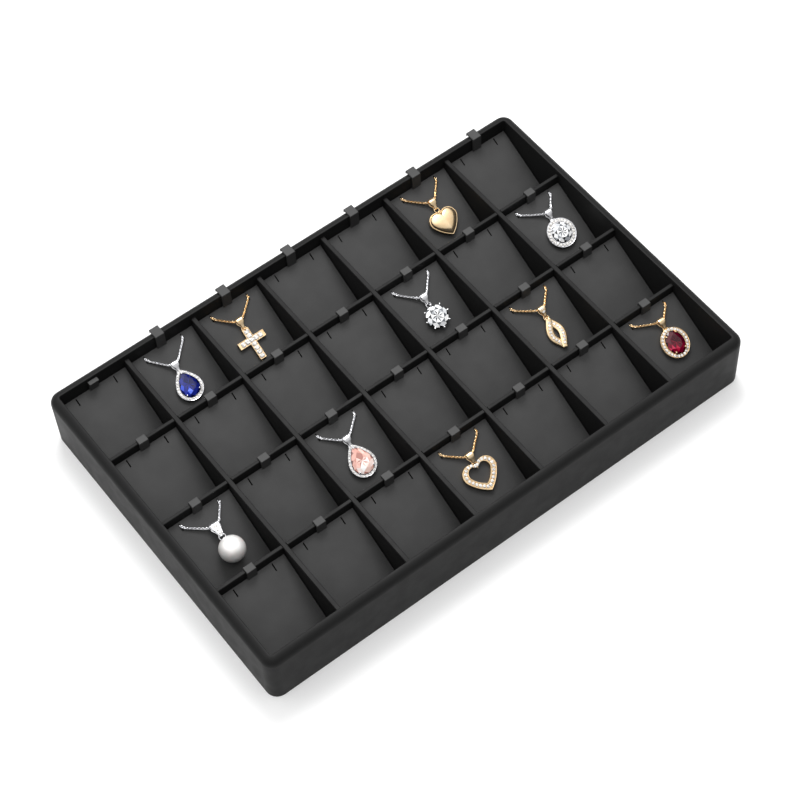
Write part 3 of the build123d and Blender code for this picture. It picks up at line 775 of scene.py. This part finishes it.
def solitaire_pendant():
    """Round brilliant held by eight thin prongs with ball tips, on an open basket."""
    drop = RING_END - SOLITAIRE_LAP + SOLITAIRE / 2
    radius = SOLITAIRE_STONE / 2
    basket = [(2.4, REST_GAP), (1.5, 0.5), (0.6, 1.7), (0.35, 2.1), (0.5, 2.35), (0.9, 2.1)]
    basket += [(1.6, SEAT), (2.6, SEAT)]
    metal = [collar(lambda inset: circle(radius, inset), basket)]
    for angle in range(0, 360, 45):
        way = np.array([math.cos(math.radians(angle)), math.sin(math.radians(angle))])
        metal.append(claw(way * (radius - 1.0), way * (radius + 0.8), 0.6, 3.9, 0.5))
    made = set_stone("solitaire", circle(radius), drop)
    made["metal"] = [shifted(part, (0, -drop, 0)) for part in metal] + [bail(), jump_ring()]
    return made


HALO_ROUND, HALO_ROUND_STONE, HALO_ROUND_LAP = 19.4, 13.0, 2.5


def halo_round_pendant():
    """Round brilliant in a round halo, with four small claws."""
    radius, stone = HALO_ROUND / 2, HALO_ROUND_STONE / 2
    claws = ring_of_claws((40, 140, 220, 320), (stone, stone), 0.5)
    drop = RING_END - HALO_ROUND_LAP + radius
    size = (0.98, 1.12)
    outer, inner = (lambda inset: circle(radius, inset)), (lambda inset: circle(stone, inset))
    return halo_pendant("halo_round", outer, inner, drop, radius - stone, 24, size, claws)


OVAL_HALO, OVAL_STONE, OVAL_WIDTH, OVAL_LAP = (9.3, 9.8), (6.0, 7.5), 2.8, 2.4


def oval_pendant():
    """Oval stone in a halo, held by four prongs."""
    claws = ring_of_claws((50, 130, 230, 310), OVAL_STONE, 0.5, wire=0.5)
    drop = RING_END - OVAL_LAP + OVAL_HALO[1]
    outer, inner = (lambda inset: oval(*OVAL_HALO, inset)), (lambda inset: oval(*OVAL_STONE, inset))
    return halo_pendant("oval_red", outer, inner, drop, OVAL_WIDTH, 24, (1.02, 1.0), claws)


# Span, length, width of a bar, and how far down the arms are
CROSS = (18.6, 21.3, 4.4, 8.0)
CROSS_HEIGHT, CROSS_GAP = 2.4, 0.15
UPRIGHT_PITCH, ARM_PITCH = 2.85, 3.1


def cross_pendant():
    """Latin cross: a gold tray with a raised edge, one row of stones in each bar, and an eye at its top."""
    drop = BAIL_LENGTH + CROSS_GAP
    top = REST_GAP + CROSS_HEIGHT
    centre = -CROSS[3]
    profile = [(0.12, REST_GAP), (0, 0.5), (0, top - 0.2), (0.08, top - 0.05), (0.22, top)]
    profile += [(0.38, top - 0.05), (0.45, top - 0.4)]
    upright = [(0, centre + UPRIGHT_PITCH * k) for k in (-4, -3, -2, -1, 0, 1, 2)]
    arms = [(side * ARM_PITCH * k, centre) for side in (-1, 1) for k in (1, 2)]
    turned, straight = [[0, 1, 0], [-1, 0, 0], [0, 0, 1]], np.eye(3)
    upright_stone, arm_stone = small_stone(1.28, 1.6, 1.8), small_stone(1.38, 1.6, 1.8)
    height = top - STONE_SINK
    stones = [copies(upright_stone, [turned] * len(upright), flat(np.array(upright), height))]
    stones.append(copies(arm_stone, [straight] * len(arms), flat(np.array(arms), height)))
    metal = [collar(lambda inset: cross(*CROSS, inset), profile)]
    eye = arc((-drop - 0.4, top - 0.3), 0.95, 0, 2 * math.pi, 20)[:, [0, 0, 1]] * [0, 1, 1]
    eye = bar(eye, 0.36, (1, 0, 0), closed=True)
    return {
        "metal": [shifted(part, (0, -drop, 0)) for part in metal] + [eye, bail(), jump_ring()],
        "melee": [shifted(part, (0, -drop, 0)) for part in stones],
    }


# Half width, radius of a lobe and drop to the point; the rim's lower and upper height
HEART, HEART_LAP, HEART_RIM, HEART_TOP = (9.8, 5.6, 11.9), 0.9, (1.35, 3.35), 5.75
# The middle that its rings are drawn in to, shares of the outline at its back and front edges and its poles,
# and the power that rounds its domes
HEART_MIDDLE, HEART_BACK, HEART_FRONT, HEART_POLE, HEART_ROUND = (0, -1.8), 0.93, 0.94, 0.02, 0.6


def heart_pendant():
    """Puffed heart: rings of the outline drawn in while their height follows a quarter of an oval."""
    drop = RING_END - HEART_LAP + HEART[1]
    low, high = HEART_RIM
    outline, middle = heart(*HEART), np.array(HEART_MIDDLE)

    def ring(share, height):
        return flat(middle + (outline - middle) * share, height)

    rings = [ring(HEART_POLE, REST_GAP)]
    turn = np.linspace(0, math.pi / 2, 14)
    for t in turn[2:]:
        rings.append(ring(HEART_BACK * math.sin(t) ** HEART_ROUND, low - (low - REST_GAP) * math.cos(t)))
    rim = ((0.98, low), (1.0, low + 0.2), (1.0, high - 0.2), (0.98, high), (HEART_FRONT, high))
    rings += [ring(share, height) for share, height in rim]
    for t in turn[1:-1]:
        rings.append(ring(HEART_FRONT * math.cos(t) ** HEART_ROUND, high + (HEART_TOP - high) * math.sin(t)))
    rings.append(ring(HEART_POLE, HEART_TOP))
    lug = [(0, -RING_END + 0.5, 1.85), (0, -RING_END - 0.6, 1.95), (0, -RING_END - 1.9, 2.0)]
    lug = bar(lug, 0.5, (1, 0, 0))
    return {"metal": [shifted(capped(np.stack(rings)), (0, -drop, 0)), lug, bail(), jump_ring()]}


OPEN_HEART, OPEN_HEART_HOLE, OPEN_HEART_LAP = (11.3, 6.2, 13.4), (7.3, 3.9, 8.6), 0.9


def open_heart_pendant():
    """Heart-shaped band with one row of stones between two raised edges."""
    cleft = math.sqrt(OPEN_HEART[1] ** 2 - (OPEN_HEART[0] - OPEN_HEART[1]) ** 2)
    drop = (0, -(RING_END - OPEN_HEART_LAP + cleft), 0)
    top = HALO_TOP
    profile = [(0.1, REST_GAP), (0, 0.5), (0, top - 0.25), (0.08, top - 0.06), (0.3, top)]
    profile += [(0.5, top - 0.06), (0.6, top - 0.35)]
    rings = [flat(heart(*OPEN_HEART, inset), height) for inset, height in profile]
    rings += [flat(heart(*OPEN_HEART_HOLE, -inset), height) for inset, height in profile[::-1]]
    line = (heart(*OPEN_HEART) + heart(*OPEN_HEART_HOLE)) / 2
    stones = row_of_stones(line, 24, top - STONE_SINK, (1.02, 1.12), start=0.5 / 24)
    beads = grains(line, 24, top - 0.05, 1.05, 0.28, start=0.5 / 24)
    band = grid(np.stack(rings), along=True)
    metal = [shifted(band, drop), shifted(beads, drop), bail(), jump_ring()]
    return {"metal": metal, "melee": [shifted(stones, drop)]}


TWIST_HALF_WIDTH, TWIST_HALF_LENGTH, TWIST_NECK, TWIST_HOLE = 6.0, 9.6, 1.65, 1.3
# A band's middle height and how far it goes over and under, its least half width and how much that grows,
# its half thickness, and its length as a share of the twist's
TWIST_HEIGHT, TWIST_LIFT, TWIST_BAND, TWIST_GROWTH = 1.4, 0.45, 1.75, 0.6
TWIST_THICK, TWIST_SHARE = 0.85, 0.93


def strand(side, count=56):
    """Middle line of one band of the twist: out and back, over at one end and under at the other."""
    share = np.linspace(-0.04, 1.03, count) if side < 0 else np.linspace(-0.01, 1.05, count)
    out = np.sin(share * math.pi)
    x = side * (TWIST_HALF_WIDTH + TWIST_HOLE) / 2 * np.sign(out) * np.abs(out) ** 1.25
    y = TWIST_SHARE * TWIST_HALF_LENGTH * (1 - 2 * share)
    z = TWIST_HEIGHT - side * TWIST_LIFT * np.cos(share * math.pi)
    return np.stack([x, y, z], -1), out


def twist_pendant():
    """Two bands of small stones that cross, part round an open lens and cross again, under a looped neck."""
    drop = (0, -(BAIL_LENGTH + TWIST_NECK + TWIST_HALF_LENGTH), 0)
    metal, stones = [], []
    for side in (-1, 1):
        line, out = strand(side)
        half = TWIST_BAND + TWIST_GROWTH * np.abs(out) ** 0.7
        section = np.stack([half, 0 * half + TWIST_THICK], -1)
        metal.append(bar(line, section, (0, 0, 1), sides=20, square=4.0))
        stones.append(row_of_stones(line[4:-4] + [0, 0, 0.82], 9, 0, (0.92, 1.05), closed=False))
    eye = flat(oval(1.45, 2.1, count=24), 1.6) - [0, BAIL_LENGTH + CROSS_GAP + 2.3, 0]
    extra = row_of_stones(np.array([(0, 0.9, 4.4), (0, -3.0, 3.6)]), 2, 0, (0.8, 1.1), closed=False)
    eye = bar(eye, 0.5, (0, 0, 1), closed=True)
    metal = [shifted(part, drop) for part in metal] + [eye, bail(), jump_ring()]
    return {"metal": metal, "melee": [shifted(part, drop) for part in stones] + [extra]}


PEARL, PEARL_LAP, PEARL_RING, PEARL_CUP = 16.2, 1.25, 4.0, 1.3
PEARL_BAIL_WIDTH, PEARL_BAIL_END_WIDTH, PEARL_BAIL_LENGTH, PEARL_BAIL_RISE = 6.2, 2.6, 7.2, 2.35
PEARL_LINK_HOLE = 1.05
# How far down the bail each stone is, and its half length
PEARL_STONES = ((0.1, 1.3), (2.7, 1.12), (4.9, 0.9))


def pearl_pendant():
    """Round pearl under a broad bail, with three ever smaller stones between the bail's raised edges."""
    end = PEARL_LINK_HOLE + LINK_WALL
    link = PEARL_BAIL_LENGTH - end
    height = REST_GAP + end + PEARL_BAIL_RISE
    middle = link + PEARL_RING - PEARL_LAP + PEARL / 2
    centre = REST_GAP + PEARL / 2
    lean = math.atan2(centre - height, middle - link - PEARL_RING)
    cup = (0, PEARL / 2 * math.cos(lean) - middle, centre - PEARL / 2 * math.sin(lean))
    slope = (height + end - BAIL_HEIGHT - TUNNEL - BAIL_WALL) / link
    top = BAIL_HEIGHT + TUNNEL + BAIL_WALL
    stones = []
    for place, size in PEARL_STONES:
        axes = [unit(np.array([0, -1, slope])), [1, 0, 0], unit(np.array([0, slope, 1]))]
        axes[1] = np.cross(axes[2], axes[0])
        seat = (0, -place, top + slope * place + 0.08)
        stones.append(copies(small_stone(size, 1.15 * size), [axes], [seat]))
    rails = []
    for side in (-1, 1):
        ends = [(side * 2.55, 0.9, top - 0.15), (side * 2.2, -1.6, top + 1.6 * slope)]
        ends.append((side * 1.15, -link, top + link * slope))
        rails.append(bar(along_line(np.array(ends), np.linspace(0, 7, 9)), 0.42, (0, 0, 1)))
    band = bail(PEARL_BAIL_WIDTH, PEARL_BAIL_END_WIDTH, PEARL_BAIL_LENGTH, PEARL_BAIL_RISE, PEARL_LINK_HOLE)
    pearl = ball(PEARL / 2, (0, -middle, centre), around=64, rings=33)
    metal = [band, jump_ring(link, height, PEARL_RING), ball(PEARL_CUP, cup, 1.0, 20, 11), *rails]
    return {"metal": metal, "melee": stones, "pearl": [pearl]}


MAKERS = {
    "pear_blue": lambda: pear_pendant("pear_blue", *PEAR_BLUE),
    "cross": cross_pendant,
    "heart": heart_pendant,
    "solitaire": solitaire_pendant,
    "halo_round": halo_round_pendant,
    "pearl": pearl_pendant,
    "pear_pink": lambda: pear_pendant("pear_pink", *PEAR_PINK),
    "twist": twist_pendant,
    "open_heart": open_heart_pendant,
    "oval_red": oval_pendant,
}


def pendant(name, row, column, across, down, metal):
    """Every piece of one pendant, set on its ramp."""
    body = f"turned_{name}"
    made = MAKERS[name]()

    def placed(kind):
        return [(on_ramp(points, row, column, across, down), faces) for points, faces in made[kind]]

    piece(f"pendant_{name}_metal", placed("metal"), metal, body, [f"pendant_{name}"], METAL_CREASE)
    if "melee" in made:
        piece(f"pendant_{name}_small_stones", placed("melee"), "melee", body)
    if "stone" in made:
        colour = LOOKS[name][0]
        # the stone carries its facets' painted light
        piece(f"pendant_{name}_stone", placed("stone"), colour, body, tones=made["tones"])
    if "pearl" in made:
        piece(f"pendant_{name}_pearl", placed("pearl"), "nacre", body, None, PEARL_CREASE)


# Stage

FLOOR_SIZE = 6.0
FLOOR_GLOW = 0.28
LAMP_PLACE, LAMP_SIZE, LAMP_ENERGY = (0.24, 0.42, 1.15), (0.5, 0.4), 10.0
# The room's brightness by the cosine of the angle from its soft ceiling's middle: walls, then the ceiling
ROOM_LIGHT, CEILING_MIDDLE = 2.0, (0.0, 0.2, 0.98)
ROOM = ((0.0, 0.05), (0.1, 0.08), (0.22, 0.36), (0.45, 0.3), (0.74, 0.5), (0.88, 1.0))


def stage():
    """Pale floor, a large soft lamp high at the back right, and a room with a wide soft light overhead."""
    scene = bpy.context.scene
    scene.view_settings.view_transform = "Standard"
    s = FLOOR_SIZE
    mesh = bpy.data.meshes.new("floor")
    mesh.from_pydata([(-s, -s, 0), (s, -s, 0), (s, s, 0), (-s, s, 0)], [], [(0, 1, 2, 3)])
    pale, tree, shader = finish_of("pale_floor", "#f4f4f4", 0.9)
    rays = add(tree, "ShaderNodeLightPath").outputs
    seen = add(tree, "ShaderNodeMath", {0: rays["Is Camera Ray"], 1: rays["Is Glossy Ray"]}, operation="ADD")
    seen = add(tree, "ShaderNodeMath", {0: seen.outputs[0], 1: rays["Is Transmission Ray"]}, operation="ADD")
    share = add(tree, "ShaderNodeMath", {0: seen.outputs[0], 1: FLOOR_GLOW}, operation="MULTIPLY")
    share.use_clamp = True
    glow = add(tree, "ShaderNodeEmission", {"Color": (1.0, 1.0, 1.0, 1.0)})
    both = add(tree, "ShaderNodeMixShader", {0: share.outputs[0], 1: shader.outputs[0], 2: glow.outputs[0]})
    tree.links.new(both.outputs[0], tree.nodes["Material Output"].inputs["Surface"])
    mesh.materials.append(pale)
    floor = bpy.data.objects.new("floor", mesh)
    scene.collection.objects.link(floor)

    world = bpy.data.worlds.new("studio")
    world.use_nodes = True
    scene.world = world
    tree = world.node_tree
    where = add(tree, "ShaderNodeTexCoord").outputs["Object"]
    toward = add(tree, "ShaderNodeVectorMath", {0: where, 1: CEILING_MIDDLE}, operation="DOT_PRODUCT")
    ramp = add(tree, "ShaderNodeValToRGB", {"Fac": toward.outputs["Value"]})
    stops(ramp, ROOM)
    tree.links.new(ramp.outputs["Color"], tree.nodes["Background"].inputs["Color"])
    tree.nodes["Background"].inputs["Strength"].default_value = ROOM_LIGHT

    lamp = bpy.data.lights.new("soft_lamp", "AREA")
    lamp.shape = "RECTANGLE"
    lamp.size, lamp.size_y = LAMP_SIZE
    lamp.energy = LAMP_ENERGY
    holder = bpy.data.objects.new("soft_lamp", lamp)
    holder.location = LAMP_PLACE
    holder.rotation_euler = (-holder.location.normalized()).to_track_quat("-Z", "Y").to_euler()
    scene.collection.objects.link(holder)

    lens = bpy.data.cameras.new("camera")
    lens.lens, lens.sensor_width = CAMERA_LENS, SENSOR
    camera = bpy.data.objects.new("camera", lens)
    camera.location = [value * MM for value in CAMERA_PLACE]
    camera.rotation_euler = [math.radians(value) for value in CAMERA_TURN]
    scene.collection.objects.link(camera)
    scene.camera = camera


def dress_frame():
    """Finishes for the pieces that keep the part's own shapes."""
    for name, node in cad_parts.items():
        finish = "pad" if name.startswith("ramp") else "abs"
        node.data.materials.clear()
        node.data.materials.append(FINISHES[finish])


dress_frame()
for name, (row, column, across, down, metal) in PENDANTS.items():
    chain(name, row, column, across, down, metal)
    pendant(name, row, column, across, down, metal)
piece("tray_moulding", [tray()], "abs", "root", ["tray_body"], TRAY_CREASE)
stage()
